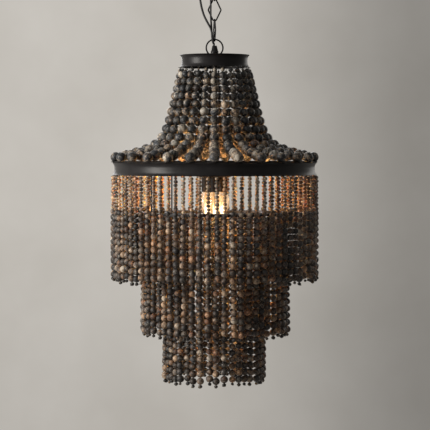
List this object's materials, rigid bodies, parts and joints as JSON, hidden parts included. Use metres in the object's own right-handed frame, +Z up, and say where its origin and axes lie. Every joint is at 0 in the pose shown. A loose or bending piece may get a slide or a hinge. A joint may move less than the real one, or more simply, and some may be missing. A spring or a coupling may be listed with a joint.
{
  "type": "beaded chandelier",
  "caption": "Pendant chandelier with a trumpet crown of graded beads between two steel bands, stepped bead curtains round candle bulbs, and a short chain with two cords.",
  "frame": {"origin": "the middle of the mounting strap's top face, which lies against the ceiling", "axes": "+Z up towards the ceiling, +X to the right seen from the front, -Y towards the viewer, where the two cords hang to the left of the chain"},
  "size_m": [0.5022, 0.5018, 1.0789],
  "materials": {
    "black_metal": "satin black paint",
    "black_wire": "satin black paint on round wire",
    "zinc_steel": "zinc plated",
    "cord_rubber": "matte black",
    "crown_bead_wood": "mottled slate grey and brown, semi-matte",
    "fringe_bead_wood": "mottled slate grey, tan and cream, semi-matte",
    "bulb_glass": "clear, warm lit",
    "socket_plastic": "matte black"
  },
  "bodies": {
    "canopy": {"mounting_strap": "zinc_steel", "ceiling_canopy": "black_metal", "cord_bushing": "cord_rubber", "canopy_loop": "black_metal"},
    "link_1": {"chain_link_1": "black_wire"},
    "link_2": {"chain_link_2": "black_wire", "supply_cord": "cord_rubber", "earth_wire": "cord_rubber"},
    "link_3": {"chain_link_3": "black_wire"},
    "link_4": {"chain_link_4": "black_wire"},
    "ring": {"hanging_ring": "black_wire"},
    "fixture": {"stem_head": "black_metal", "cord_boot": "cord_rubber", "crown_band": "black_metal", "crown_spider": "black_metal", "crown_nut": "zinc_steel", "stem_pipe": "black_metal", "main_band": "black_metal", "main_spider": "black_metal", "spider_nut": "zinc_steel", "middle_hoop": "black_metal", "lower_hoop": "black_metal", "socket_cup": "black_metal", "finial": "black_metal", "socket_1": "socket_plastic", "socket_2": "socket_plastic", "socket_3": "socket_plastic", "bulb_1": "bulb_glass", "bulb_2": "bulb_glass", "bulb_3": "bulb_glass", "crown_strands_1": "crown_bead_wood", "crown_strands_2": "crown_bead_wood", "crown_strands_3": "crown_bead_wood", "crown_strands_4": "crown_bead_wood", "crown_strands_5": "crown_bead_wood", "crown_strands_6": "crown_bead_wood", "crown_strands_7": "crown_bead_wood"},
    "outer_fringe_1": {"outer_fringe_1": "fringe_bead_wood"},
    "outer_fringe_2": {"outer_fringe_2": "fringe_bead_wood"},
    "outer_fringe_3": {"outer_fringe_3": "fringe_bead_wood"},
    "outer_fringe_4": {"outer_fringe_4": "fringe_bead_wood"},
    "outer_fringe_5": {"outer_fringe_5": "fringe_bead_wood"},
    "outer_fringe_6": {"outer_fringe_6": "fringe_bead_wood"},
    "outer_fringe_7": {"outer_fringe_7": "fringe_bead_wood"},
    "outer_fringe_8": {"outer_fringe_8": "fringe_bead_wood"},
    "outer_fringe_9": {"outer_fringe_9": "fringe_bead_wood"},
    "outer_fringe_10": {"outer_fringe_10": "fringe_bead_wood"},
    "middle_fringe_1": {"middle_fringe_1": "fringe_bead_wood"},
    "middle_fringe_2": {"middle_fringe_2": "fringe_bead_wood"},
    "middle_fringe_3": {"middle_fringe_3": "fringe_bead_wood"},
    "middle_fringe_4": {"middle_fringe_4": "fringe_bead_wood"},
    "middle_fringe_5": {"middle_fringe_5": "fringe_bead_wood"},
    "middle_fringe_6": {"middle_fringe_6": "fringe_bead_wood"},
    "middle_fringe_7": {"middle_fringe_7": "fringe_bead_wood"},
    "lower_fringe_1": {"lower_fringe_1": "fringe_bead_wood"},
    "lower_fringe_2": {"lower_fringe_2": "fringe_bead_wood"},
    "lower_fringe_3": {"lower_fringe_3": "fringe_bead_wood"},
    "lower_fringe_4": {"lower_fringe_4": "fringe_bead_wood"},
    "lower_fringe_5": {"lower_fringe_5": "fringe_bead_wood"}
  },
  "joints": [
    {"name": "link_1_swing", "type": "hinge", "parent": "canopy", "child": "link_1", "pos_m": [0, 0, -0.0647], "axis": [-0.1392, 0.9903, 0], "range_deg": [-15, 15]},
    {"name": "link_2_swing", "type": "hinge", "parent": "link_1", "child": "link_2", "pos_m": [0, 0, -0.1128], "axis": [0.9903, 0.1392, 0], "range_deg": [-15, 15], "deforming": ["supply_cord", "earth_wire"]},
    {"name": "link_3_swing", "type": "hinge", "parent": "link_2", "child": "link_3", "pos_m": [0, 0, -0.1613], "axis": [-0.1392, 0.9903, 0], "range_deg": [-15, 15]},
    {"name": "link_4_swing", "type": "hinge", "parent": "link_3", "child": "link_4", "pos_m": [0, 0, -0.2098], "axis": [0.9903, 0.1392, 0], "range_deg": [-15, 15]},
    {"name": "ring_swing", "type": "hinge", "parent": "link_4", "child": "ring", "pos_m": [0, 0, -0.2583], "axis": [-0.1392, 0.9903, 0], "range_deg": [-15, 15]},
    {"name": "fixture_swing", "type": "hinge", "parent": "ring", "child": "fixture", "pos_m": [0, 0, -0.2947], "axis": [0.9903, 0.1392, 0], "range_deg": [-15, 15]},
    {"name": "outer_fringe_1_sway", "type": "hinge", "parent": "fixture", "child": "outer_fringe_1", "pos_m": [0.07167, -0.23626, -0.5799], "axis": [-0.9569, -0.2903, 0], "range_deg": [0, 20]},
    {"name": "outer_fringe_2_sway", "type": "hinge", "parent": "fixture", "child": "outer_fringe_2", "pos_m": [0.19685, -0.14902, -0.5799], "axis": [-0.6036, -0.7973, 0], "range_deg": [0, 20]},
    {"name": "outer_fringe_3_sway", "type": "hinge", "parent": "fixture", "child": "outer_fringe_3", "pos_m": [0.24685, -0.00485, -0.5799], "axis": [-0.0196, -0.9998, 0], "range_deg": [0, 20]},
    {"name": "outer_fringe_4_sway", "type": "hinge", "parent": "fixture", "child": "outer_fringe_4", "pos_m": [0.20255, 0.14117, -0.5799], "axis": [0.5718, -0.8204, 0], "range_deg": [0, 20]},
    {"name": "outer_fringe_5_sway", "type": "hinge", "parent": "fixture", "child": "outer_fringe_5", "pos_m": [0.08089, 0.23327, -0.5799], "axis": [0.9448, -0.3276, 0], "range_deg": [0, 20]},
    {"name": "outer_fringe_6_sway", "type": "hinge", "parent": "fixture", "child": "outer_fringe_6", "pos_m": [-0.07167, 0.23626, -0.5799], "axis": [0.9569, 0.2903, 0], "range_deg": [0, 20]},
    {"name": "outer_fringe_7_sway", "type": "hinge", "parent": "fixture", "child": "outer_fringe_7", "pos_m": [-0.19685, 0.14902, -0.5799], "axis": [0.6036, 0.7973, 0], "range_deg": [0, 20]},
    {"name": "outer_fringe_8_sway", "type": "hinge", "parent": "fixture", "child": "outer_fringe_8", "pos_m": [-0.24685, 0.00485, -0.5799], "axis": [0.0196, 0.9998, 0], "range_deg": [0, 20]},
    {"name": "outer_fringe_9_sway", "type": "hinge", "parent": "fixture", "child": "outer_fringe_9", "pos_m": [-0.20255, -0.14117, -0.5799], "axis": [-0.5718, 0.8204, 0], "range_deg": [0, 20]},
    {"name": "outer_fringe_10_sway", "type": "hinge", "parent": "fixture", "child": "outer_fringe_10", "pos_m": [-0.08089, -0.23327, -0.5799], "axis": [-0.9448, 0.3276, 0], "range_deg": [0, 20]},
    {"name": "middle_fringe_1_sway", "type": "hinge", "parent": "fixture", "child": "middle_fringe_1", "pos_m": [0.07123, -0.15918, -0.6749], "axis": [-0.9128, -0.4084, 0], "range_deg": [0, 15]},
    {"name": "middle_fringe_2_sway", "type": "hinge", "parent": "fixture", "child": "middle_fringe_2", "pos_m": [0.16887, -0.04356, -0.6749], "axis": [-0.2498, -0.9683, 0], "range_deg": [0, 15]},
    {"name": "middle_fringe_3_sway", "type": "hinge", "parent": "fixture", "child": "middle_fringe_3", "pos_m": [0.13934, 0.10487, -0.6749], "axis": [0.6013, -0.799, 0], "range_deg": [0, 15]},
    {"name": "middle_fringe_4_sway", "type": "hinge", "parent": "fixture", "child": "middle_fringe_4", "pos_m": [0.00489, 0.17433, -0.6749], "axis": [0.9996, -0.028, 0], "range_deg": [0, 15]},
    {"name": "middle_fringe_5_sway", "type": "hinge", "parent": "fixture", "child": "middle_fringe_5", "pos_m": [-0.13324, 0.11251, -0.6749], "axis": [0.6452, 0.764, 0], "range_deg": [0, 15]},
    {"name": "middle_fringe_6_sway", "type": "hinge", "parent": "fixture", "child": "middle_fringe_6", "pos_m": [-0.17104, -0.03402, -0.6749], "axis": [-0.1951, 0.9808, 0], "range_deg": [0, 15]},
    {"name": "middle_fringe_7_sway", "type": "hinge", "parent": "fixture", "child": "middle_fringe_7", "pos_m": [-0.08004, -0.15494, -0.6749], "axis": [-0.8884, 0.459, 0], "range_deg": [0, 15]},
    {"name": "lower_fringe_1_sway", "type": "hinge", "parent": "fixture", "child": "lower_fringe_1", "pos_m": [0.06661, -0.09969, -0.6749], "axis": [-0.8315, -0.5556, 0], "range_deg": [0, 6]},
    {"name": "lower_fringe_2_sway", "type": "hinge", "parent": "fixture", "child": "lower_fringe_2", "pos_m": [0.11539, 0.03254, -0.6749], "axis": [0.2714, -0.9625, 0], "range_deg": [0, 6]},
    {"name": "lower_fringe_3_sway", "type": "hinge", "parent": "fixture", "child": "lower_fringe_3", "pos_m": [0.00471, 0.1198, -0.6749], "axis": [0.9992, -0.0393, 0], "range_deg": [0, 6]},
    {"name": "lower_fringe_4_sway", "type": "hinge", "parent": "fixture", "child": "lower_fringe_4", "pos_m": [-0.11248, 0.0415, -0.6749], "axis": [0.3461, 0.9382, 0], "range_deg": [0, 6]},
    {"name": "lower_fringe_5_sway", "type": "hinge", "parent": "fixture", "child": "lower_fringe_5", "pos_m": [-0.07423, -0.09416, -0.6749], "axis": [-0.7853, 0.6191, 0], "range_deg": [0, 6]}
  ]
}
